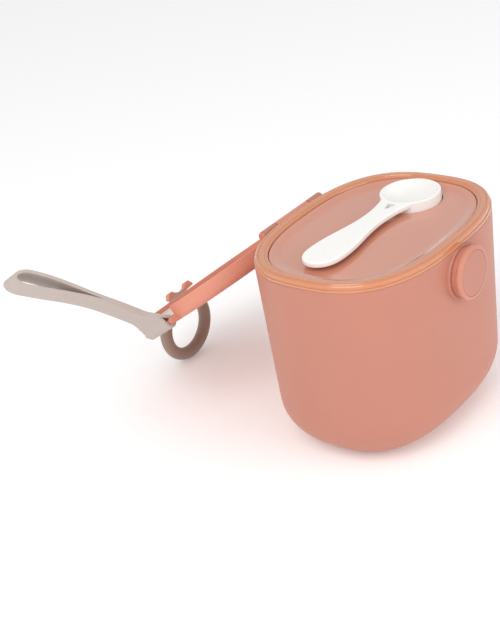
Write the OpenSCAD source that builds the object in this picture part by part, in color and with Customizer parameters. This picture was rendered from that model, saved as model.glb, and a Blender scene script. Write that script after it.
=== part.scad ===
// Formula dispenser: an oval tub with a clip-in collar, a lift-out cover that carries
// a scoop, and a hinged lid with a latch ring and a carry strap.
// Millimetres. Z is up, X runs along the hinge, the catch faces -Y, the hinge is at +Y.
// The origin is the middle of the resting face. The lid is drawn thrown open.

/* [Tub] */
// Length of the oval tub along the hinge
body_l = 128; // [100:1:160]
// Width of the tub from catch to hinge
body_w = 96.6; // [80:0.2:120]
// Height of the tub to its rim
body_h = 100; // [80:0.5:120]
// Squareness of the oval, 2 is an ellipse
body_sq = 2.65; // [2:0.05:4]
// Radius that rounds the bottom edge
foot_r = 26; // [12:1:30]
// Inward draft of the wall over its height
draft = 2.8; // [0.5:0.1:5]
// Wall thickness
wall = 2.4; // [1.8:0.1:3]
// Floor thickness
floor_t = 4; // [2.4:0.1:6]

/* [Lid] */
// How far the lid is thrown open, degrees
lid_open = 213.8; // [0:0.2:213.8]
// Height of the closed lid's top above the tub's rim
lid_h = 10.3; // [9.8:0.1:13]
// Radius of the hinge knuckles
knuckle_r = 2.6; // [2.2:0.1:2.9]
// Half length of the lid's middle knuckle
knuckle_mid = 13.5; // [10:0.5:16]
// Half length of the whole hinge barrel
knuckle_end = 25; // [20:0.5:30]

/* [Catch] */
// Radius of the catch's round head
head_r = 13.35; // [10:0.05:15]
// Depth of the catch's centre below the rim
head_drop = 13.4; // [12:0.1:18]
// Radius of the latch ring's centre line
ring_r = 16.8; // [15:0.1:16.8]
// Radius of the latch ring's section
ring_t = 3.5; // [2.5:0.1:3.5]

/* [Scoop] */
// Radius of the scoop's rim
bowl_r = 15.5; // [12:0.5:15.5]
// Depth of the scoop's bowl
bowl_h = 21.5; // [12:0.5:21.5]
// Length from the bowl's centre to the handle's tip
handle_l = 85; // [70:1:88]

/* [Strap] */
// Width of the strap
strap_w = 10.9; // [8:0.1:17]
// Thickness of one layer of the strap
strap_t = 1.8; // [1.2:0.1:1.8]
// Length of the strap from its bar to its far end
strap_l = 84; // [60:1:110]

/* [Hidden] */
seg = 72;
$fn = 64;
a0 = body_l / 2;
b0 = body_w / 2;
H = body_h;
hinge_x = 1.8;
hinge_y = b0 + 3;
hinge_z = H - 0.85;
pin_r = 1.22;
foot_a = 78;
well_x = 36;
well_y = 1;
well_r = bowl_r + 0.4;
knob_z = H - head_drop;
boss_y = -(b0 + 0.7);
bar_x = -(a0 + 4.9);
bar_z = H + 7.9;
bar_r = 1.3;
bar_half = 9.8;
root_half = bar_half - 0.4;
ear_t = [2.4, 1];
ear_r = [1.9, 1.6];
panel_z = 0.6;
strap_dip = 53.5;
limb_x = -4;
limb_y = -(b0 + 4.8);
limb_z = H + 3.5;
hook_y = -(b0 + 11.5);
salmon = [0.84, 0.52, 0.42];
amber = [0.88, 0.55, 0.38];
greige = [0.74, 0.68, 0.64];

// The oval, drawn in by d, at the polar angle t.
function oval_r(t, d) = pow(pow(abs(cos(t)) / (a0 - d), body_sq)
    + pow(abs(sin(t)) / (b0 - d), body_sq), -1 / body_sq);

// One level of the oval: row holds how far it is drawn in, and its height.
function level(row) = [for (i = [0 : seg - 1])
    let (t = 360 * i / seg, r = oval_r(t, row[0])) [r * cos(t), r * sin(t), row[1]]];

// The two triangles between levels j and k at step i.
function band(j, k, i) = let (n = (i + 1) % seg) [
    [j * seg + i, k * seg + i, k * seg + n],
    [j * seg + i, k * seg + n, j * seg + n]];

// A solid whose levels run up its outside, with a flat end at each end of the list.
module stack(rows) {
    m = len(rows);
    polyhedron([for (q = rows) each level(q)],
        concat([[for (i = [0 : seg - 1]) i]],
            [[for (i = [seg - 1 : -1 : 0]) (m - 1) * seg + i]],
            [for (j = [0 : m - 2]) for (i = [0 : seg - 1]) each band(j, j + 1, i)]),
        convexity = 6);
}

// A ring round the oval whose levels make a closed section.
module hoop(rows) {
    m = len(rows);
    polyhedron([for (q = rows) each level(q)],
        [for (j = [0 : m - 1]) for (i = [0 : seg - 1]) each band(j, (j + 1) % m, i)],
        convexity = 6);
}

// Levels given from the tub's rim, moved up to it.
function at_rim(rows) = [for (q = rows) [q[0], H + q[1]]];

// Turns what is drawn on the closed lid to the open lid.
module opened() {
    translate([0, hinge_y, hinge_z])
        rotate([-lid_open, 0, 0])
            translate([0, -hinge_y, -hinge_z])
                children();
}

// A block from x0 to x1 with an outline given in Y and Z.
module web(x0, x1, outline) {
    translate([x0, 0, 0])
        rotate([90, 0, 90])
            linear_extrude(x1 - x0)
                polygon(outline);
}

module along_x(x0, x1, r, y, z) {
    translate([x0, y, z])
        rotate([0, 90, 0])
            cylinder(r = r, h = x1 - x0);
}

// Turns a profile of radius and height to point at the front from the boss's face.
module front_turn() {
    translate([0, boss_y, knob_z])
        rotate([90, 0, 0])
            rotate_extrude()
                children();
}

// Rounded bottom of a cup: arc of radius r with its low point at height z0.
function cup_arc(r, off, z0, steps) = [for (k = [0 : steps])
    let (p = foot_a * (1 - k / steps), z = z0 + r * (sin(foot_a) - sin(p)))
    [off + r * (1 - cos(p)) + draft * (1 - z / H), z]];

module tub() {
    inner_r = foot_r - wall;
    color(salmon)
    difference() {
        union() {
            stack(concat(cup_arc(foot_r, 0, 0, 11),
                [[draft * 0.5, H / 2], [draft * 8 / H, H - 8], [0.03, H - 1.1],
                    [0.12, H - 0.6], [0.35, H - 0.25], [0.8, H]],
                [[wall - 0.1, H], [wall + draft * 8 / H, H - 8]],
                [for (q = [11 : -1 : 0]) cup_arc(inner_r, wall, floor_t, 11)[q]]));
            intersection() {
                translate([0, boss_y, knob_z])
                    rotate([-90, 0, 0])
                        cylinder(r = 13.8, h = 2.5);
                translate([-20, boss_y - 1, knob_z - 20])
                    cube([40, 5, 19.9 + head_drop]);
            }
            for (s = [-1, 1])
                translate([hinge_x + s * (knuckle_mid + 1 + knuckle_end) / 2, 0, 0]) {
                    half = (knuckle_end - knuckle_mid - 1) / 2;
                    along_x(-half, half, knuckle_r, hinge_y, hinge_z);
                    web(-half, half, [[b0 - 1.9, H - 5.6], [b0 - 0.1, H - 5.6],
                        [hinge_y - 0.6, hinge_z - 2.5], [hinge_y, hinge_z],
                        [hinge_y, H - 0.5], [b0 - 1.9, H - 0.5]]);
                }
        }
        along_x(hinge_x - knuckle_end - 1, hinge_x + knuckle_end + 1, pin_r, hinge_y, hinge_z);
        along_x(hinge_x - knuckle_mid - 0.8, hinge_x + knuckle_mid + 0.8, knuckle_r + 0.4,
            hinge_y, hinge_z);
        translate([0, boss_y + 2.3, knob_z])
            rotate([90, 0, 0])
                cylinder(r = 4, h = 4);
    }
}

module rim_collar() {
    color(amber)
    hoop(at_rim([[0.1, 0], [0.1, 0.9], [0.3, 1.1], [0.8, 1.2], [0.8, 2.8], [1.1, 3.15],
        [1.6, 3.4], [2.4, 3.5], [4.2, 3.4], [5.6, 3.1], [6.3, 2.6], [6.5, 2],
        [6.5, -3.2], [9, -3.2], [9, -5], [4.6, -5.2], [4.6, -8], [2.8, -8], [2.8, -7],
        [3.8, -7], [3.8, -4.6], [2.8, -4.6], [2.8, 0]]));
}

module collar_seal() {
    color([0.85, 0.8, 0.76])
    hoop(at_rim([[2.72, -6.8], [2.72, -4.8], [3.7, -4.8], [3.7, -6.8]]));
}

module cover_seal() {
    color([0.9, 0.88, 0.85])
    hoop(at_rim([[7.1, -3.2], [7.1, -2.6], [8.6, -2.6], [8.6, -3.2]]));
}

module inner_cover() {
    color([0.84, 0.66, 0.57])
    difference() {
        union() {
            stack(at_rim([[17, -2.3], [6.9, -2.3], [6.9, 1.6], [7.3, 2], [8, 2],
                [8.6, 1.9], [9.8, 1.5], [11, 1.05], [12.2, 0.75], [14, panel_z],
                [17, panel_z]]));
            translate([well_x, well_y, H - 18.1])
                cylinder(r = well_r + 1.8, h = 18.1 + panel_z);
        }
        translate([well_x, well_y, H - 16.3])
            cylinder(r = well_r, h = 30);
    }
}

// Half width of the handle at distance u from the bowl's centre.
function handle_w(u) = u < 33 ? 5.7 + 5 * pow((33 - u) / 25, 2.2)
    : u < 70 ? 5.7 + 2.15 * (1 - cos(180 * (u - 33) / 37))
    : 10 * sqrt(max(0, 1 - pow((u - 70) / (handle_l - 70), 2.6)));

module scoop() {
    us = [for (k = [0 : 26]) 8 + (handle_l - 8) * (1 - pow(1 - k / 26, 1.5))];
    color([0.96, 0.96, 0.95])
    translate([well_x, well_y, H + 5.5 - bowl_h])
        difference() {
            union() {
                rotate_extrude()
                    polygon([[0, 0], [bowl_r - 4, 0], [bowl_r - 3, 1], [bowl_r - 0.3, bowl_h - 9],
                        [bowl_r, bowl_h - 8], [bowl_r, bowl_h], [0, bowl_h]]);
                rotate([0, 0, 178])
                    translate([0, 0, bowl_h - 2.6])
                        linear_extrude(2.5)
                            polygon(concat([for (u = us) [u, -handle_w(u)]],
                                [for (k = [25 : -1 : 0]) [us[k], handle_w(us[k])]]));
            }
            rotate_extrude()
                polygon([[0, 1.2], [bowl_r - 4.6, 1.2], [bowl_r - 4, 1.8],
                    [bowl_r - 1.5, bowl_h + 1], [0, bowl_h + 1]]);
            rotate([0, 0, 178])
                translate([bowl_r + 0.9, 0, bowl_h - 4])
                    linear_extrude(5)
                        polygon([[0, -2.4], [0, 2.4], [4.4, 0.3], [4.4, -0.3]]);
        }
}

// The hook in front of the lid: a plate that ends below in two drooping horns.
module hook() {
    translate([-7, hook_y, H + 7.8])
        cube([7, 12, 2.2]);
    translate([-7, hook_y, H + 0.2])
        cube([10.4, 1.6, 9.8]);
    translate([2.3, hook_y + 3.5, H + 1.9])
        rotate([90, 0, 0])
            linear_extrude(3.5)
                polygon([[-5, -0.6], [5, -0.6], [10, -1.1], [10.4, -2], [8.5, -4.6],
                    [6, -4.6], [4.1, -2.8], [1.8, -2.1], [-1.8, -2.1], [-4.1, -2.8],
                    [-6, -4.6], [-8.5, -4.6], [-10.4, -2], [-10, -1.1]]);
}

// The bar outside the lid's end that carries the strap, between its two ears.
module strap_bar() {
    translate([bar_x, bar_half + 0.6, bar_z])
        rotate([90, 0, 0])
            cylinder(r = bar_r, h = 2 * bar_half + 1.2);
    for (k = [0, 1])
        translate([bar_x, k == 0 ? -bar_half : bar_half + ear_t[k], bar_z]) {
            rotate([90, 0, 0])
                cylinder(r = ear_r[k], h = ear_t[k]);
            translate([0, -ear_t[k], -ear_r[k]])
                cube([6, ear_t[k], 2 * ear_r[k]]);
        }
}

module lid_closed() {
    difference() {
        union() {
            stack(at_rim([[14, lid_h - 2], [8, lid_h - 2.1], [7.8, 6.4], [7.2, 6], [5, 6],
                [5, 7.6], [2, 7.6], [2, 6], [0.9, 6], [0.5, 5.6], [0.5, 1.4],
                [-0.97, 1.4], [-0.97, 4.4], [-0.7, 6.6], [-0.1, 8.2], [0.9, lid_h - 0.9],
                [2.2, lid_h - 0.3], [4, lid_h - 0.1], [14, lid_h]]));
            along_x(hinge_x - knuckle_mid, hinge_x + knuckle_mid, knuckle_r, hinge_y, hinge_z);
            web(hinge_x - knuckle_mid, hinge_x + knuckle_mid, [[b0 + 0.6, H + 1],
                [hinge_y, hinge_z], [hinge_y + 2.2, hinge_z + 1.8], [b0 + 2.2, H + 3.8],
                [b0 + 0.3, H + 3.8]]);
            hook();
        }
        along_x(hinge_x - knuckle_mid - 1, hinge_x + knuckle_mid + 1, pin_r + 0.05,
            hinge_y, hinge_z);
        translate([-a0 - 5, -bar_half, H + 1])
            cube([6.1, 2 * bar_half, 12]);
    }
    strap_bar();
}

module lid_shell() {
    color(salmon)
    opened()
        lid_closed();
}

module lid_gasket() {
    color([0.93, 0.92, 0.9])
    opened()
        hoop(at_rim([[2.1, 6.2], [2.1, 7.5], [4.9, 7.5], [4.9, 6.2], [4.2, 5.6], [4, 3.9],
            [3.2, 3.9], [3, 5.6]]));
}

module hinge_pin() {
    color([0.8, 0.8, 0.82]) {
        along_x(hinge_x - knuckle_end, hinge_x + knuckle_end - 0.4, pin_r, hinge_y, hinge_z);
        translate([hinge_x - knuckle_end, hinge_y, hinge_z])
            rotate([0, -90, 0])
                rotate_extrude()
                    polygon([[0, 0], [2.4, 0], [2.4, 0.5], [1.9, 1], [0, 1]]);
    }
}

module knob_stem() {
    color(salmon)
    front_turn()
        polygon([[0, -2.2], [3.95, -2.2], [3.95, 0], [12, 0], [12, 2.2], [12.3, 2.5],
            [head_r - 0.6, 2.5], [head_r, 3.1], [head_r, 4.2], [head_r - 0.5, 5],
            [head_r - 1.6, 5.4], [11.3, 5.4], [11.3, 4.7], [0, 4.7]]);
}

module knob_cap() {
    color(salmon)
    front_turn()
        polygon([[0, 4.7], [11.2, 4.7], [11.2, 5.3], [10.8, 5.5], [0, 5.5]]);
}

module latch_ring() {
    lift = [0, limb_y - hinge_y, limb_z - hinge_z];
    c = cos(lid_open);
    s = sin(lid_open);
    color(greige)
    translate([limb_x, hinge_y + lift[1] * c + lift[2] * s, hinge_z - lift[1] * s + lift[2] * c])
        translate([0, 0, -ring_r])
            rotate([90, 0, 0])
                rotate_extrude()
                    translate([ring_r, 0])
                        circle(r = ring_t);
}

// Half thickness of the folded strap at distance s from its bar.
function strap_h(s) = s < 0 ? sqrt(max(0, pow(bar_r + 0.3 + strap_t, 2) - s * s))
    : s < 6 ? strap_t + 0.05 + (bar_r + 0.25) * (1 + cos(30 * s)) / 2
    : s < 33 ? strap_t + 0.05
    : s < strap_l - 8 ? strap_t + 0.05 + 1.475 * (1 - cos(180 * (s - 33) / (strap_l - 41)))
    : (strap_t + 3) * sqrt(max(0, 1 - pow((s - strap_l + 8) / 8, 2)));

// Outline of a slot between distances s0 and s1 inside the folded strap.
function slot_h(s, s0) = s < s0 ? sqrt(max(0, pow(bar_r + 0.3, 2) - s * s))
    : s > strap_l - 8 ? 3 * sqrt(max(0, 1 - pow((s - strap_l + 8) / (8 - strap_t), 2)))
    : max(0, strap_h(s) - strap_t);

// An outline with half thickness hs at distances ss, along the strap's slow bend.
function both(ss, hs) = concat([for (i = [0 : len(ss) - 1]) [ss[i], bend(ss[i]) - hs[i]]],
    [for (i = [len(ss) - 1 : -1 : 0]) [ss[i], bend(ss[i]) + hs[i]]]);

function bend(s) = -0.0016 * pow(max(0, s), 2);

// The strap seen flat: wide where it fills the lid's notch, then narrowing to its width.
function strap_plan() = let (h = strap_w / 2, r = root_half) [[-5, -r], [3, -r],
    [6, -r + 1], [10, -h - 1.1], [14, -h], [strap_l + 2, -h], [strap_l + 2, h],
    [14, h], [10, h + 1.1], [6, r - 1], [3, r], [-5, r]];

module strap_loop() {
    far = strap_l - 8;
    out_s = concat([for (k = [1 : 7]) -(bar_r + 0.3 + strap_t) * cos(11.25 * k)],
        [for (k = [0 : 8]) 0.75 * k], [12], [for (k = [0 : 22]) 33 + (far - 33) * k / 22],
        [for (k = [1 : 9]) far + 8 * sin(9.8 * k)]);
    near_s = concat([for (k = [1 : 7]) -(bar_r + 0.3) * cos(11.25 * k)],
        [for (k = [0 : 8]) 0.75 * k]);
    far_s = concat([for (k = [0 : 18]) 39 + (far - 39) * k / 18],
        [for (k = [1 : 9]) far + (8 - strap_t) * sin(9.8 * k)]);
    color(greige)
    opened()
        translate([bar_x, 0, bar_z])
            rotate([0, 180 - strap_dip, 0])
                intersection() {
                    translate([0, root_half, 0])
                        rotate([90, 0, 0])
                            linear_extrude(2 * root_half)
                                difference() {
                                    polygon(both(out_s, [for (s = out_s) strap_h(s)]));
                                    polygon(both(near_s, [for (s = near_s) slot_h(s, 0)]));
                                    polygon(both(far_s, [for (s = far_s) slot_h(s, 0)]));
                                }
                    translate([0, 0, -20])
                        linear_extrude(40)
                            polygon(strap_plan());
                }
}

tub();
rim_collar();
collar_seal();
inner_cover();
cover_seal();
scoop();
lid_shell();
lid_gasket();
hinge_pin();
knob_stem();
knob_cap();
latch_ring();
strap_loop();
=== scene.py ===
"""Looks of the formula dispenser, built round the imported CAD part.

Lengths are worked in millimetres and made in metres. The lid, its gasket and the strap
are drawn with the lid closed, then turned open about the hinge.
"""

import math

import bmesh
import bpy
from mathutils import Matrix, Vector


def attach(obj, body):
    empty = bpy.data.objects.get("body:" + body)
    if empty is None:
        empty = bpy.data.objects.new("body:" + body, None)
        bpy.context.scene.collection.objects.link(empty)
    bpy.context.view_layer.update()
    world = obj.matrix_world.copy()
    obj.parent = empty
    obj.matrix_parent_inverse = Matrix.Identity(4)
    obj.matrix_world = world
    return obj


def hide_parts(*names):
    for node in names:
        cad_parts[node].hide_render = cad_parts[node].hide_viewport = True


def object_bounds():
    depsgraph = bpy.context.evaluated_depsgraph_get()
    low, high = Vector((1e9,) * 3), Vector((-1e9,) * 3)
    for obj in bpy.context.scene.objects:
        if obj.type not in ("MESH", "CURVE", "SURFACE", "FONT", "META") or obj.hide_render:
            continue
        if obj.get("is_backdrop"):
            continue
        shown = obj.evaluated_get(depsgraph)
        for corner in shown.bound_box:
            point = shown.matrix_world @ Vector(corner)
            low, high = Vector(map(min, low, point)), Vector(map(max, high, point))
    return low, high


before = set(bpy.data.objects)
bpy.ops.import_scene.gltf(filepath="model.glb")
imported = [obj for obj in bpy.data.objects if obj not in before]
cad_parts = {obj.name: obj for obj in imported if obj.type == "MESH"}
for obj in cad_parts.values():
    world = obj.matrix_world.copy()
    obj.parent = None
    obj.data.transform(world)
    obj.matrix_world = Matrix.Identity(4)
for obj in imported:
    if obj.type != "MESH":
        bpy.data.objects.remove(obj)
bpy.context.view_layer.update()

MM = 0.001
SEGMENTS = 288  # round the oval
TURN = 128  # round a turned piece
SMOOTH = math.radians(32)  # edges flatter than this are shaded smooth
BEVELLED = math.radians(28)  # edges sharper than this are bevelled
STRAIGHT = math.radians(176)  # a path's corner wider than this isn't rounded
SHORTEN = 0.46  # most of a path's leg that one rounded corner may use
CLEAR = 0.03  # keeps a cut's faces off the faces beside it
WELD = 2e-6  # metres, points closer than this are one after a boolean

# The tub and its oval
LENGTH_HALF = 64.0
WIDTH_HALF = 48.3
SQUARENESS = 2.65
H = 100.0
FOOT_R = 26.0
FOOT_ANGLE = 78.0
DRAFT = 2.8
WALL = 2.4
FLOOR = 4.0
# The lid, its hinge and the pin
LID_OPEN = math.radians(213.8)
LID_TOP = 10.3
HINGE_X = 1.8
HINGE_Y = WIDTH_HALF + 3.0
HINGE_Z = H - 0.85
PIN_R = 1.22
KNUCKLE_R = 2.6
KNUCKLE_MID = 13.5
KNUCKLE_END = 25.0
# The catch, the latch ring and its hook
BOSS_Y = -(WIDTH_HALF + 0.7)
KNOB_Z = H - 13.4
HEAD_R = 13.35
RING_R = 16.8
RING_T = 3.5
LIMB = (-4.0, -(WIDTH_HALF + 4.8), H + 3.5)
HOOK_Y = -(WIDTH_HALF + 11.5)
# The strap, its bar and the notch that it fills
BAR_X = -(LENGTH_HALF + 4.9)
BAR_Z = H + 7.9
BAR_R = 1.3
BAR_HALF = 9.8
ROOT_HALF = BAR_HALF - 0.4
EARS = ((-1, 2.4, 1.9), (1, 1.0, 1.6))  # side, thickness and radius
STRAP_DIP = math.radians(53.5)
STRAP_W = 10.9
STRAP_T = 1.8
STRAP_L = 84.0
STRAP_BEND = 0.0016  # slow bend along the strap, per millimetre
FAR_END = STRAP_L - 8.0  # where the strap's far loop begins to close
# The scoop, its well and the inner cover's panel
BOWL_R = 15.5
BOWL_H = 21.5
HANDLE_L = 85.0
HANDLE_TURN = math.radians(178)  # from the bowl to the handle's tip
WELL = (36.0, 1.0)
WELL_R = BOWL_R + 0.4
PANEL_Z = 0.6  # the panel's top above the tub's rim

OPENED = (
    Matrix.Translation((0, HINGE_Y, HINGE_Z))
    @ Matrix.Rotation(LID_OPEN, 4, "X").inverted()
    @ Matrix.Translation((0, -HINGE_Y, -HINGE_Z))
)


# ---------------------------------------------------------------- mesh tools


def oval_point(angle, inset):
    """The point of the oval drawn in by inset, at that polar angle."""
    c, s = math.cos(angle), math.sin(angle)
    r = (
        (abs(c) / (LENGTH_HALF - inset)) ** SQUARENESS
        + (abs(s) / (WIDTH_HALF - inset)) ** SQUARENESS
    ) ** (-1 / SQUARENESS)
    return r * c, r * s


def rounded(path, closed=False, steps=5):
    """A path of (x, z) or (x, z, radius) points, with its corners rounded to their radius."""
    out = []
    n = len(path)
    for i, p in enumerate(path):
        r = p[2] if len(p) > 2 else 0
        here = Vector(p[:2])
        if not r or (not closed and i in (0, n - 1)):
            out.append((here.x, here.y))
            continue
        back = Vector(path[i - 1][:2]) - here
        ahead = Vector(path[(i + 1) % n][:2]) - here
        angle = back.angle(ahead)
        if angle > STRAIGHT:
            out.append((here.x, here.y))
            continue
        cut = min(r / math.tan(angle / 2), SHORTEN * back.length, SHORTEN * ahead.length)
        a, b = here + back.normalized() * cut, here + ahead.normalized() * cut
        for k in range(steps + 1):
            t = k / steps
            q = a * (1 - t) ** 2 + here * 2 * t * (1 - t) + b * t * t
            out.append((q.x, q.y))
    return out


def shade(bm):
    """Smooth shading, with the sharp edges kept sharp."""
    for f in bm.faces:
        f.smooth = True
    for e in bm.edges:
        e.smooth = len(e.link_faces) == 2 and e.calc_face_angle(0) < SMOOTH


def new_object(name, bm):
    bmesh.ops.recalc_face_normals(bm, faces=bm.faces)
    shade(bm)
    mesh = bpy.data.meshes.new(name)
    bm.to_mesh(mesh)
    bm.free()
    o = bpy.data.objects.new(name, mesh)
    bpy.context.scene.collection.objects.link(o)
    return o


def rings_to_mesh(bm, rings, closed):
    """Faces between rings of points: a closed section, or a solid with a cap at each end."""
    n = len(rings)
    for j in range(n if closed else n - 1):
        a, b = rings[j], rings[(j + 1) % n]
        m = len(a)
        for i in range(m):
            k = (i + 1) % m
            bm.faces.new((a[i], a[k], b[k], b[i]))
    if not closed:
        bm.faces.new(list(reversed(rings[0])))
        bm.faces.new(rings[-1])


def oval_loft(name, path, closed, shift=0.0):
    """A path of (inset, height) carried round the oval."""
    bm = bmesh.new()
    rings = []
    for inset, z in path:
        ring = []
        for i in range(SEGMENTS):
            x, y = oval_point(2 * math.pi * i / SEGMENTS, inset)
            ring.append(bm.verts.new((x * MM, y * MM, (z + shift) * MM)))
        rings.append(ring)
    rings_to_mesh(bm, rings, closed)
    return new_object(name, bm)


def turned(name, path, place, segments=TURN, closed=False):
    """A path of (radius, height) turned about Z, then put in place by a matrix in millimetres."""
    bm = bmesh.new()
    rings = []
    for r, z in path:
        ring = []
        for i in range(segments):
            t = 2 * math.pi * i / segments
            p = place @ Vector((r * math.cos(t), r * math.sin(t), z))
            ring.append(bm.verts.new(p * MM))
        rings.append(ring)
    rings_to_mesh(bm, rings, closed)
    return new_object(name, bm)


def plate(name, outlines, low, high, place, bevel=0.0, segments=3):
    """Flat outlines drawn in XY, raised from low to high, with rounded edges.

    The first outline is the outside and the rest are holes.
    """
    bm = bmesh.new()
    edges = []
    for line in outlines:
        verts = [bm.verts.new((x, y, low)) for x, y in line]
        edges += [
            bm.edges.new((verts[i], verts[(i + 1) % len(verts)]))
            for i in range(len(verts))
        ]
    filled = bmesh.ops.triangle_fill(bm, edges=edges, use_beauty=True, use_dissolve=False)
    faces = [g for g in filled["geom"] if isinstance(g, bmesh.types.BMFace)]
    raised = bmesh.ops.extrude_face_region(bm, geom=faces)
    top = [g for g in raised["geom"] if isinstance(g, bmesh.types.BMVert)]
    bmesh.ops.translate(bm, verts=top, vec=(0, 0, high - low))
    bmesh.ops.recalc_face_normals(bm, faces=bm.faces)
    if bevel:
        sharp = [
            e
            for e in bm.edges
            if len(e.link_faces) == 2 and e.calc_face_angle(0) > BEVELLED
        ]
        bmesh.ops.bevel(
            bm,
            geom=sharp,
            offset=bevel,
            offset_type="OFFSET",
            segments=segments,
            profile=0.5,
            affect="EDGES",
            clamp_overlap=True,
        )
    for v in bm.verts:
        v.co = (place @ v.co) * MM
    return new_object(name, bm)


def combine(target, tools, operation):
    """Joins the tools to the target, or cuts them from it, and removes them."""
    for tool in tools:
        m = target.modifiers.new("b", "BOOLEAN")
        m.operation = operation
        m.solver = "EXACT"
        m.object = tool
    graph = bpy.context.evaluated_depsgraph_get()
    made = bpy.data.meshes.new_from_object(target.evaluated_get(graph))
    target.modifiers.clear()
    target.data = made
    for tool in tools:
        bpy.data.objects.remove(tool)
    bm = bmesh.new()
    bm.from_mesh(made)
    bmesh.ops.remove_doubles(bm, verts=bm.verts, dist=WELD)
    bmesh.ops.dissolve_degenerate(bm, edges=bm.edges, dist=WELD / 2)
    shade(bm)
    bm.to_mesh(made)
    bm.free()
    return target


def settle(o, body, node, material):
    """Gives a finished piece its material and body, and hides the CAD node that it stands in for.
    """
    o.data.materials.clear()
    o.data.materials.append(material)
    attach(o, body)
    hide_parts(node)
    return o


# From a turned profile's own axis to the front of the tub, through the catch's centre
FRONT = Matrix.Translation((0, BOSS_Y, KNOB_Z)) @ Matrix.Rotation(math.pi / 2, 4, "X")
# UPRIGHT maps a drawing's X and Y to X and Z, and its height to -Y.
# SIDEWAYS maps them to Y and Z, and its height to X.
UPRIGHT = Matrix(((1, 0, 0, 0), (0, 0, -1, 0), (0, 1, 0, 0), (0, 0, 0, 1)))
SIDEWAYS = Matrix(((0, 0, 1, 0), (1, 0, 0, 0), (0, 1, 0, 0), (0, 0, 0, 1)))


def rod_x(name, x0, x1, r, y, z, round_end=0.35):
    """A round rod along X with rounded ends."""
    place = Matrix.Translation((x0, y, z)) @ Matrix.Rotation(math.pi / 2, 4, "Y")
    c = min(round_end, r / 3)
    n = x1 - x0
    path = rounded(
        [(r * 0.3, 0), (r, 0, c), (r, n, c), (r * 0.3, n)],
    )
    return turned(name, path, place, 48)


def hinge_rod(name, half, r, round_end=0.35):
    """A rod on the hinge's axis, to the same distance each side of the hinge's middle."""
    return rod_x(name, HINGE_X - half, HINGE_X + half, r, HINGE_Y, HINGE_Z, round_end)


# ---------------------------------------------------------------- materials


DRIFT_SCALE = 26.0
GRAIN_SCALE = 1400.0
ROUGH_VARIES = 0.04
PLASTIC_IOR = 1.48


def linear(r, g, b):
    """An 8-bit screen colour as linear light."""
    return [
        (v / 255 / 12.92) if v / 255 <= 0.04045 else ((v / 255 + 0.055) / 1.055) ** 2.4
        for v in (r, g, b)
    ]


def moulded(
    name,
    colour,
    rough=0.42,
    mottle=0.05,
    grain=0.00002,
    sub=0.0,
    sub_radius=(1.0, 0.45, 0.3),
    sub_scale=0.004,
    coat=0.0,
    coat_rough=0.12,
    sheen=0.0,
):
    """Moulded plastic or silicone.

    It has a slow colour drift, a fine grain, and a roughness that varies a little.
    """
    mat = bpy.data.materials.new(name)
    mat.use_nodes = True
    tree = mat.node_tree
    tree.nodes.clear()
    out = tree.nodes.new("ShaderNodeOutputMaterial")
    shader = tree.nodes.new("ShaderNodeBsdfPrincipled")
    tree.links.new(shader.outputs["BSDF"], out.inputs["Surface"])
    where = tree.nodes.new("ShaderNodeTexCoord")
    drift = tree.nodes.new("ShaderNodeTexNoise")
    drift.inputs["Scale"].default_value = DRIFT_SCALE
    drift.inputs["Detail"].default_value = 3
    fine = tree.nodes.new("ShaderNodeTexNoise")
    fine.inputs["Scale"].default_value = GRAIN_SCALE
    fine.inputs["Detail"].default_value = 2
    for node in (drift, fine):
        tree.links.new(where.outputs["Object"], node.inputs["Vector"])
    ramp = tree.nodes.new("ShaderNodeValToRGB")
    ramp.color_ramp.elements[0].position = 0.3
    ramp.color_ramp.elements[1].position = 0.7
    ramp.color_ramp.elements[0].color = [c * (1 - mottle) for c in colour] + [1]
    ramp.color_ramp.elements[1].color = [min(1, c * (1 + mottle)) for c in colour] + [1]
    tree.links.new(drift.outputs["Fac"], ramp.inputs["Fac"])
    tree.links.new(ramp.outputs["Color"], shader.inputs["Base Color"])
    spread = tree.nodes.new("ShaderNodeMapRange")
    spread.inputs["From Min"].default_value = 0.3
    spread.inputs["From Max"].default_value = 0.7
    spread.inputs["To Min"].default_value = rough - ROUGH_VARIES
    spread.inputs["To Max"].default_value = rough + ROUGH_VARIES
    tree.links.new(fine.outputs["Fac"], spread.inputs["Value"])
    tree.links.new(spread.outputs["Result"], shader.inputs["Roughness"])
    bump = tree.nodes.new("ShaderNodeBump")
    bump.inputs["Strength"].default_value = 0.5
    bump.inputs["Distance"].default_value = grain
    tree.links.new(fine.outputs["Fac"], bump.inputs["Height"])
    tree.links.new(bump.outputs["Normal"], shader.inputs["Normal"])
    shader.inputs["Specular IOR Level"].default_value = 0.5
    shader.inputs["IOR"].default_value = PLASTIC_IOR
    if sub:
        shader.inputs["Subsurface Weight"].default_value = sub
        shader.inputs["Subsurface Radius"].default_value = sub_radius
        shader.inputs["Subsurface Scale"].default_value = sub_scale
    if coat:
        shader.inputs["Coat Weight"].default_value = coat
        shader.inputs["Coat Roughness"].default_value = coat_rough
    if sheen:
        shader.inputs["Sheen Weight"].default_value = sheen
    return mat


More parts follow.
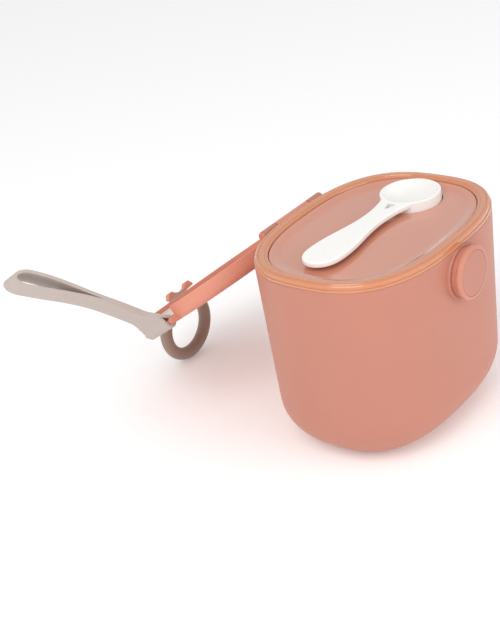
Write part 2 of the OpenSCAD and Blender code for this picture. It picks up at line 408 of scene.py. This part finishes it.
SATIN = {"mottle": 0.02, "grain": 0.00001}
SILICONE = {"sheen": 0.05, "grain": 0.00002}
tub_mat = moulded("tub_satin", linear(195, 129, 110), rough=0.46, sub=0.12, **SATIN)
lid_mat = moulded("lid_satin", linear(220, 145, 122), rough=0.42, sub=0.12, **SATIN)
knob_mat = moulded("knob_satin", linear(206, 136, 115), rough=0.36, sub=0.12, **SATIN)
cap_mat = moulded("cap_satin", linear(194, 128, 111), rough=0.4, sub=0.1, **SATIN)
pin_mat = moulded("pin_satin", linear(206, 129, 104), rough=0.4, **SATIN)
collar_mat = moulded(
    "collar_amber",
    linear(210, 136, 95),
    rough=0.16,
    mottle=0.02,
    sub=0.3,
    sub_radius=(1.0, 0.4, 0.2),
    sub_scale=0.005,
    coat=1.0,
    coat_rough=0.04,
    grain=0.0,
)
cover_mat = moulded(
    "cover_milky",
    linear(209, 141, 117),
    rough=0.2,
    mottle=0.02,
    sub=0.25,
    sub_scale=0.006,
    coat=1.0,
    coat_rough=0.06,
    grain=0.0,
)
scoop_mat = moulded(
    "scoop_white", linear(250, 248, 245), rough=0.34, mottle=0.006, sub=0.15, grain=0.000004
)
seal_mat = moulded("seal_soft", linear(222, 214, 204), rough=0.62, mottle=0.03, sub=0.1)
gasket_mat = moulded("gasket_soft", linear(236, 232, 226), rough=0.6, mottle=0.02, sub=0.2)
ring_mat = moulded(
    "ring_taupe", linear(158, 134, 121), rough=0.5, mottle=0.03, sub=0.08, **SILICONE
)
strap_mat = moulded(
    "strap_greige", linear(189, 176, 169), rough=0.52, mottle=0.02, sub=0.12, **SILICONE
)

# ---------------------------------------------------------------- tub


def cup_arc(radius, offset, low, steps):
    """Rounded bottom of a cup, from its flat bottom up to the wall."""
    rows = []
    full = math.radians(FOOT_ANGLE)
    for k in range(steps + 1):
        p = full * (1 - k / steps)
        z = low + radius * (math.sin(full) - math.sin(p))
        rows.append((offset + radius * (1 - math.cos(p)) + DRAFT * (1 - z / H), z))
    return rows


outer = cup_arc(FOOT_R, 0, 0, 28)
inner = cup_arc(FOOT_R - WALL, WALL, FLOOR, 20)
outer_wall = [(DRAFT * (1 - z / H), z) for z in (40, 55, 70, 85, 92, H - 3)]
tub_path = (
    [(outer[0][0] + 2.5, 0.0)]
    + outer
    + outer_wall
    + rounded([(0.06, H - 2.2), (0.03, H, 1.0), (WALL, H, 0.35), (WALL, H - 1.2)])
    + [(WALL + DRAFT * (1 - z / H), z) for z in (H - 8, 80, 60, 40)]
    + list(reversed(inner))
    + [(inner[0][0] + 2.5, FLOOR)]
)
tub = oval_loft("tub_shell", tub_path, closed=False)
boss = turned(
    "boss",
    rounded([(3, -2.6), (14.4, -2.6), (13.9, -0.5, 0.5), (13.7, 0, 0.3), (3, 0)], steps=6),
    FRONT,
)
below_rim = plate(
    "below_rim",
    [[(-20, KNOB_Z - 20), (20, KNOB_Z - 20), (20, H - 0.1), (-20, H - 0.1)]],
    40,
    60,
    UPRIGHT,
)
combine(boss, [below_rim], "INTERSECT")
knuckles = []
for side in (-1, 1):
    half = (KNUCKLE_END - KNUCKLE_MID - 1) / 2
    mid = HINGE_X + side * (KNUCKLE_MID + 1 + KNUCKLE_END) / 2
    knuckles.append(rod_x("knuckle", mid - half, mid + half, KNUCKLE_R, HINGE_Y, HINGE_Z))
    knuckles.append(
        plate(
            "web",
            [
                [
                    (WIDTH_HALF - 1.9, H - 5.6),
                    (WIDTH_HALF - 0.1, H - 5.6),
                    (HINGE_Y - 0.6, HINGE_Z - 2.5),
                    (HINGE_Y, HINGE_Z),
                    (HINGE_Y, H - 0.5),
                    (WIDTH_HALF - 1.9, H - 0.5),
                ]
            ],
            mid - half,
            mid + half,
            SIDEWAYS,
            bevel=0.2,
            segments=2,
        )
    )
combine(tub, [boss, *knuckles], "UNION")
combine(
    tub,
    [
        hinge_rod("relief", KNUCKLE_MID + 0.8, KNUCKLE_R + 0.4, 0.05),
        hinge_rod("bore", KNUCKLE_END + 2, PIN_R + 0.02, 0.05),
        turned("socket", [(0.3, -2.3), (4, -2.3), (4, 1), (0.3, 1)], FRONT, 64),
    ],
    "DIFFERENCE",
)
settle(tub, "tub", "tub", tub_mat)

# ---------------------------------------------------------------- collar and cover

collar_path = rounded(
    [
        (0.1, 0, 0.1),
        (0.1, 0.9, 0.2),
        (0.45, 1.15, 0.15),
        (0.8, 1.2, 0.1),
        (0.8, 2.75, 0.25),
        (1.15, 3.15, 0.2),
        (1.9, 3.35, 0.3),
        (2.2, 2.9, 0.15),
        (2.6, 3.42, 0.3),
        (3.4, 3.5, 0.6),
        (4.7, 3.35, 0.3),
        (5.1, 2.8, 0.15),
        (5.45, 3.1, 0.3),
        (6.3, 2.6, 0.3),
        (6.5, 2.0, 0.3),
        (6.5, -3.2, 0.2),
        (9, -3.2, 0.3),
        (9, -5, 0.3),
        (4.6, -5.2, 0.3),
        (4.6, -8, 0.3),
        (2.8, -8, 0.2),
        (2.8, -7, 0.1),
        (3.8, -7, 0.1),
        (3.8, -4.6, 0.1),
        (2.8, -4.6, 0.1),
        (2.8, 0, 0.2),
    ],
    closed=True,
    steps=6,
)
settle(
    oval_loft("rim_collar_ring", collar_path, closed=True, shift=H),
    "tub",
    "rim_collar",
    collar_mat,
)

cover = oval_loft(
    "inner_cover_panel",
    [(19, -2.3), (17, -2.3)]
    + rounded(
        [
            (15, -2.3),
            (6.9, -2.3, 0.3),
            (6.9, -0.5, 0.3),
            (6.65, 0.2, 0.3),
            (6.65, 1.6, 0.3),
            (7.0, 2.0, 0.3),
            (8.0, 2.0, 0.4),
            (8.6, 1.9, 0.6),
            (9.8, 1.5, 1.0),
            (11, 1.05, 1.0),
            (12.2, 0.75, 1.0),
            (14, PANEL_Z, 1.0),
            (17, PANEL_Z),
        ],
        steps=6,
    )
    + [(19, PANEL_Z)],
    closed=False,
    shift=H,
)
at_well = Matrix.Translation((WELL[0], WELL[1], H))
well = turned(
    "well",
    rounded([(3, -18.1), (WELL_R + 1.8, -18.1, 1.2), (WELL_R + 1.8, 0.2), (3, 0.2)]),
    at_well,
)
combine(cover, [well], "UNION")
combine(
    cover,
    [
        turned(
            "hollow",
            rounded(
                [
                    (2, -16.3),
                    (WELL_R, -16.3, 1.5),
                    (WELL_R, 0.2),
                    (WELL_R + 0.3, 0.65),
                    (WELL_R + 0.5, 1.3),
                    (WELL_R + 0.5, 6),
                    (2, 6),
                ],
                steps=6,
            ),
            at_well,
        )
    ],
    "DIFFERENCE",
)
settle(cover, "cover", "inner_cover", cover_mat)

# ---------------------------------------------------------------- scoop


def handle_half(u, less=0.0):
    """Half width of the handle at distance u from the bowl's centre."""
    if u < 33:
        return 5.7 + 5 * ((33 - u) / 25) ** 2.2 - less
    if u < 70:
        return 5.7 + 2.15 * (1 - math.cos(math.pi * (u - 33) / 37)) - less
    tip = (u - 70) / (HANDLE_L - less - 70)
    return (10 - less) * math.sqrt(max(0.0, 1 - tip**2.6))


def handle_outline(less):
    reach = HANDLE_L - less
    us = [8 + (reach - 8) * (1 - (1 - k / 70) ** 1.7) for k in range(71)]
    side = [(u, handle_half(u, less)) for u in us[:-1]]
    return side + [(reach, 0.0)] + [(u, -w) for u, w in reversed(side)]


rim = BOWL_H
at_bowl = Matrix.Translation((WELL[0], WELL[1], H + 5.5 - BOWL_H))
bowl = turned(
    "scoop_body",
    rounded(
        [
            (2, 0),
            (BOWL_R - 4, 0, 0.8),
            (BOWL_R - 3, 1, 0.6),
            (BOWL_R - 0.3, rim - 9, 0.3),
            (BOWL_R, rim - 8, 0.3),
            (BOWL_R, rim, 0.45),
            (2, rim),
        ],
        steps=6,
    ),
    at_bowl,
)
bm = bmesh.new()
turn_handle = at_bowl @ Matrix.Rotation(HANDLE_TURN, 4, "Z")
rings = []
for less, z in rounded([(2, -2.6), (0, -2.6, 0.6), (0, -0.08, 0.75), (2, -0.08)], steps=6):
    rings.append(
        [
            bm.verts.new((turn_handle @ Vector((x, y, rim + z))) * MM)
            for x, y in handle_outline(less)
        ]
    )
rings_to_mesh(bm, rings, closed=False)
handle = new_object("handle", bm)
combine(bowl, [handle], "UNION")
combine(
    bowl,
    [
        turned(
            "measure",
            rounded(
                [
                    (1.5, 1.2),
                    (BOWL_R - 4.6, 1.2, 1.2),
                    (BOWL_R - 3.9, 2.4, 0.8),
                    (BOWL_R - 1.6, rim - 0.5),
                    (BOWL_R - 1.2, rim + 0.2),
                    (BOWL_R - 1.2, rim + 3),
                    (1.5, rim + 3),
                ],
                steps=6,
            ),
            at_bowl,
        ),
        plate(
            "fork",
            [
                rounded(
                    [
                        (BOWL_R + 0.9, -2.4, 0.5),
                        (BOWL_R + 0.9, 2.4, 0.5),
                        (BOWL_R + 6.8, 0.3, 0.3),
                        (BOWL_R + 6.8, -0.3, 0.3),
                    ],
                    closed=True,
                )
            ],
            rim - 4,
            rim + 1,
            turn_handle,
        ),
    ],
    "DIFFERENCE",
)
settle(bowl, "scoop", "scoop", scoop_mat)

# ---------------------------------------------------------------- lid

def hook_block(name, right, bottom, depth):
    """A block of the hook, behind its front face, from its left side and up to its top."""
    left, top = -7, H + 10
    outline = [(left, bottom), (right, bottom), (right, top), (left, top)]
    return plate(name, [outline], -HOOK_Y - depth, -HOOK_Y, UPRIGHT, bevel=0.5)


def strap_bar():
    """The bar that carries the strap, with its ends inside the two ears."""
    reach = BAR_HALF + 0.6
    return turned(
        "bar",
        [(0.4, -reach), (BAR_R, -reach), (BAR_R, reach), (0.4, reach)],
        Matrix.Translation((BAR_X, 0, BAR_Z)) @ Matrix.Rotation(-math.pi / 2, 4, "X"),
        40,
    )


lid = oval_loft(
    "lid_shell_moulding",
    [(16, LID_TOP - 2)]
    + rounded(
        [
            (14, LID_TOP - 2),
            (8, LID_TOP - 2.1, 0.4),
            (7.8, 6.4, 0.3),
            (7.2, 6, 0.2),
            (5, 6, 0.2),
            (5, 7.6, 0.1),
            (2, 7.6, 0.1),
            (2, 6, 0.2),
            (0.9, 6, 0.2),
            (0.5, 5.6, 0.3),
            (0.5, 1.4, 0.4),
            (-0.97, 1.4, 0.5),
            (-0.97, 4.4, 2.0),
            (-0.7, 6.6, 2.0),
            (-0.1, 8.2, 2.0),
            (0.9, LID_TOP - 0.9, 1.5),
            (2.2, LID_TOP - 0.3, 1.5),
            (4, LID_TOP - 0.1, 2.0),
            (14, LID_TOP),
        ],
        steps=5,
    )
    + [(16, LID_TOP)],
    closed=False,
    shift=H,
)
parts = [
    hinge_rod("knuckle", KNUCKLE_MID, KNUCKLE_R),
    plate(
        "web",
        [
            [
                (WIDTH_HALF + 0.6, H + 1),
                (HINGE_Y, HINGE_Z),
                (HINGE_Y + 2.2, HINGE_Z + 1.8),
                (WIDTH_HALF + 2.2, H + 3.8),
                (WIDTH_HALF + 0.3, H + 3.8),
            ]
        ],
        HINGE_X - KNUCKLE_MID,
        HINGE_X + KNUCKLE_MID,
        SIDEWAYS,
    ),
    hook_block("stem", 0, H + 7.8, 12),
    hook_block("tongue", 3.4, H + 0.2, 1.6),
    plate(
        "horns",
        [
            rounded(
                [
                    (x + 2.3, z + H + 1.9, r)
                    for x, z, r in (
                        (-5, -0.6, 1),
                        (5, -0.6, 1),
                        (10, -1.1, 0.8),
                        (10.4, -2, 0.8),
                        (8.5, -4.6, 0.8),
                        (6, -4.6, 0.8),
                        (4.1, -2.8, 1),
                        (1.8, -2.1, 1.5),
                        (-1.8, -2.1, 1.5),
                        (-4.1, -2.8, 1),
                        (-6, -4.6, 0.8),
                        (-8.5, -4.6, 0.8),
                        (-10.4, -2, 0.8),
                        (-10, -1.1, 0.8),
                    )
                ],
                closed=True,
                steps=5,
            )
        ],
        -HOOK_Y - 3.5,
        -HOOK_Y,
        UPRIGHT,
        bevel=0.6,
        segments=4,
    ),
]
parts.append(strap_bar())
for side, thick, r in EARS:
    ear = [(BAR_X + 6, BAR_Z - r), (BAR_X + 6, BAR_Z + r)]
    for k in range(17):
        t = math.pi / 2 + math.pi * k / 16
        ear.append((BAR_X + r * math.cos(t), BAR_Z + r * math.sin(t)))
    middle = side * (BAR_HALF + thick / 2)
    low, high = -middle - thick / 2, -middle + thick / 2
    parts.append(plate("ear", [ear], low, high, UPRIGHT, bevel=0.3))
combine(lid, parts, "UNION")
combine(
    lid,
    [
        hinge_rod("bore", KNUCKLE_MID + 1, PIN_R + 0.05, 0.05),
        plate(
            "notch",
            [
                rounded(
                    [
                        (-LENGTH_HALF - 8, H - 4),
                        (-LENGTH_HALF + 1.1, H - 4),
                        (-LENGTH_HALF + 1.1, H + 14),
                        (-LENGTH_HALF - 8, H + 14),
                    ],
                    closed=True,
                )
            ],
            -BAR_HALF + CLEAR,
            BAR_HALF - CLEAR,
            UPRIGHT,
        ),
    ],
    "DIFFERENCE",
)
# The bar crosses the notch, so it is joined again after the cut.
combine(lid, [strap_bar()], "UNION")


def open_up(o):
    """Turns a piece drawn with the lid closed to where it is with the lid open."""
    for v in o.data.vertices:
        v.co = (OPENED @ (v.co / MM)) * MM
    return o


settle(open_up(lid), "lid", "lid_shell", lid_mat)
gasket = oval_loft(
    "lid_gasket_ring",
    rounded(
        [
            (2.1, 6.2, 0.2),
            (2.1, 7.5, 0.2),
            (4.9, 7.5, 0.2),
            (4.9, 6.2, 0.2),
            (4.2, 5.6, 0.4),
            (4.0, 3.9, 0.35),
            (3.2, 3.9, 0.35),
            (3.0, 5.6, 0.4),
        ],
        closed=True,
    ),
    closed=True,
    shift=H,
)
settle(open_up(gasket), "lid", "lid_gasket", gasket_mat)

# ---------------------------------------------------------------- hinge pin and catch

pin_place = Matrix.Translation((HINGE_X - KNUCKLE_END, HINGE_Y, HINGE_Z)) @ Matrix.Rotation(
    math.pi / 2, 4, "Y"
)
pin_length = 2 * KNUCKLE_END - 0.4
pin = turned(
    "hinge_pin_rod",
    rounded(
        [
            (0.8, -1),
            (1.9, -1, 0.3),
            (2.4, -0.5, 0.3),
            (2.4, 0, 0.1),
            (PIN_R, 0),
            (PIN_R, pin_length, 0.3),
            (0.4, pin_length),
        ]
    ),
    pin_place,
    48,
)
settle(pin, "tub", "hinge_pin", pin_mat)

stem = turned(
    "knob_stem_turning",
    rounded(
        [
            (2, -2.2),
            (3.95, -2.2, 0.3),
            (3.95, 0),
            (12, 0),
            (12, 2.2, 0.15),
            (12.3, 2.5, 0.1),
            (HEAD_R - 0.6, 2.5, 0.3),
            (HEAD_R, 3.1, 0.5),
            (HEAD_R, 4.2, 0.8),
            (HEAD_R - 0.5, 5, 0.7),
            (HEAD_R - 1.6, 5.4, 0.5),
            (11.3, 5.4, 0.12),
            (11.3, 4.7),
            (2, 4.7),
        ],
        steps=6,
    ),
    FRONT,
)
settle(stem, "tub", "knob_stem", knob_mat)
cap = turned(
    "knob_cap_disc",
    rounded(
        [
            (2, 4.7),
            (11.2, 4.7, 0.1),
            (11.2, 5.3, 0.2),
            (10.8, 5.5, 0.3),
            (5, 5.5),
            (2, 5.5),
        ]
    ),
    FRONT,
)
settle(cap, "tub", "knob_cap", cap_mat)

# ---------------------------------------------------------------- latch ring

limb = OPENED @ Vector(LIMB)
ring_path = []
around_ring = 40
for k in range(around_ring):
    t = 2 * math.pi * k / around_ring
    ring_path.append((RING_R + RING_T * math.cos(t), RING_T * math.sin(t)))
ring = turned(
    "latch_ring_loop",
    ring_path,
    Matrix.Translation((limb.x, limb.y, limb.z - RING_R)) @ Matrix.Rotation(math.pi / 2, 4, "X"),
    160,
    closed=True,
)
settle(ring, "ring", "latch_ring", ring_mat)

# ---------------------------------------------------------------- strap


def strap_half(s):
    """Half thickness of the folded strap at distance s from its bar."""
    if s < 0:
        return math.sqrt(max(0.0, (BAR_R + 0.3 + STRAP_T) ** 2 - s * s))
    if s < 6:
        return STRAP_T + 0.05 + (BAR_R + 0.25) * (1 + math.cos(math.radians(30 * s))) / 2
    if s < 33:
        return STRAP_T + 0.05
    if s < FAR_END:
        return STRAP_T + 0.05 + 1.475 * (1 - math.cos(math.pi * (s - 33) / (FAR_END - 33)))
    return (STRAP_T + 3) * math.sqrt(max(0.0, 1 - ((s - FAR_END) / 8) ** 2))


def strap_plan(s):
    """Half width of the strap at distance s, wide where it fills the lid's notch."""
    t = min(1.0, max(0.0, (s - 3) / 11))
    return STRAP_W / 2 + (ROOT_HALF - STRAP_W / 2) * (1 + math.cos(math.pi * t)) / 2


def gap_half(s):
    """Half height of the gap inside the folded strap."""
    if s < 0:
        return math.sqrt(max(0.0, (BAR_R + 0.3) ** 2 - s * s))
    if s > FAR_END:
        return 3 * math.sqrt(max(0.0, 1 - ((s - FAR_END) / (8 - STRAP_T)) ** 2))
    return max(0.0, strap_half(s) - STRAP_T)


def folded(places, half):
    """A closed outline either side of the strap's slow bend."""
    above, below = [], []
    for s in places:
        bend = -STRAP_BEND * max(0.0, s) ** 2
        above.append((s, bend + half(s)))
        below.append((s, bend - half(s)))
    return below + list(reversed(above))


# Distances along the outside, the eye round the bar, and the far loop's inside
around = [-(BAR_R + 0.3 + STRAP_T) * math.cos(math.radians(4 * k)) for k in range(1, 22)]
out_s = around + [0.5 * k for k in range(24)] + [12 + 21 * k / 14 for k in range(15)]
out_s += [33 + (FAR_END - 33) * k / 44 for k in range(1, 45)]
out_s += [FAR_END + 8 * math.sin(math.radians(4 * k)) for k in range(1, 22)]
near_s = [-(BAR_R + 0.3) * math.cos(math.radians(6 * k)) for k in range(1, 15)]
near_s += [0.4 * k for k in range(16)]
far_s = [37 + (FAR_END - 37) * k / 40 for k in range(41)]
far_s += [FAR_END + (8 - STRAP_T) * math.sin(math.radians(4 * k)) for k in range(1, 22)]
strap_place = (
    OPENED
    @ Matrix.Translation((BAR_X, 0, BAR_Z))
    @ Matrix.Rotation(math.pi - STRAP_DIP, 4, "Y")
    @ UPRIGHT
)
strap = plate(
    "strap_loop_band",
    [folded(out_s, strap_half), folded(near_s, gap_half), folded(far_s, gap_half)],
    -STRAP_W / 2,
    STRAP_W / 2,
    strap_place,
    bevel=0.42,
    segments=4,
)
# Each point moves sideways to the strap's own half width where it is.
to_plan = strap_place.inverted()
for v in strap.data.vertices:
    at = to_plan @ (v.co / MM)
    at.z *= strap_plan(at.x) / (STRAP_W / 2)
    v.co = (strap_place @ at) * MM
settle(strap, "strap", "strap_loop", strap_mat)

# ---------------------------------------------------------------- carried-over nodes

# The two hidden seals keep their CAD mesh and take a soft material.
for node in ("collar_seal", "cover_seal"):
    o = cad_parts[node]
    o.data.materials.clear()
    o.data.materials.append(seal_mat)

# ---------------------------------------------------------------- stage, light and camera

floor_mat = bpy.data.materials.new("floor_white")
floor_mat.use_nodes = True
floor_shader = floor_mat.node_tree.nodes["Principled BSDF"]
floor_shader.inputs["Base Color"].default_value = (0.96, 0.96, 0.96, 1)
floor_shader.inputs["Roughness"].default_value = 0.9
floor_shader.inputs["Emission Color"].default_value = (1, 1, 1, 1)
floor_shader.inputs["Emission Strength"].default_value = 0.15
bpy.ops.mesh.primitive_plane_add(size=60)
floor = bpy.context.object
floor.name = "studio_floor"
floor.data.materials.append(floor_mat)
floor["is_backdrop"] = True

world = bpy.data.worlds.new("studio")
bpy.context.scene.world = world
world.use_nodes = True
background = world.node_tree.nodes["Background"]
background.inputs["Color"].default_value = (1, 1, 1, 1)
background.inputs["Strength"].default_value = 0.69


LIT = Vector((0, 0.03, 0.06))  # metres, what the lights are aimed at


def softbox(name, place, size, power):
    """A soft rectangular light aimed at the tub."""
    lamp = bpy.data.lights.new(name, "AREA")
    lamp.shape = "RECTANGLE"
    lamp.size, lamp.size_y = size
    lamp.energy = power
    o = bpy.data.objects.new(name, lamp)
    bpy.context.scene.collection.objects.link(o)
    o.location = place
    o.rotation_euler = (LIT - Vector(place)).to_track_quat("-Z", "Y").to_euler()


softbox("key", (-0.75, -0.1, 0.9), (0.7, 0.7), 5.1)
softbox("fill", (0.1, -1.1, 0.5), (0.9, 0.6), 3.3)

# The camera, placed where the photo's lines put it
CAMERA_AT = (-0.5090, -0.3655, 0.39437)  # metres
LENS = 81.3  # millimetres, on a sensor 36 wide
azimuth, elevation, roll = math.radians(-48.22), math.radians(27.7), math.radians(-9.8)
back = Vector(
    (
        math.sin(azimuth) * math.cos(elevation),
        -math.cos(azimuth) * math.cos(elevation),
        math.sin(elevation),
    )
)
right = (-back).cross(Vector((0, 0, 1))).normalized()
up = right.cross(-back)
right_rolled = math.cos(roll) * right + math.sin(roll) * up
up_rolled = -math.sin(roll) * right + math.cos(roll) * up
lens = bpy.data.cameras.new("camera")
lens.sensor_width = 36.0
lens.lens = LENS
camera = bpy.data.objects.new("camera", lens)
bpy.context.scene.collection.objects.link(camera)
camera.matrix_world = Matrix.Translation(CAMERA_AT) @ Matrix(
    (right_rolled, up_rolled, back)
).transposed().to_4x4()
bpy.context.scene.camera = camera
bpy.context.scene.view_settings.view_transform = "Standard"

low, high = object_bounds()
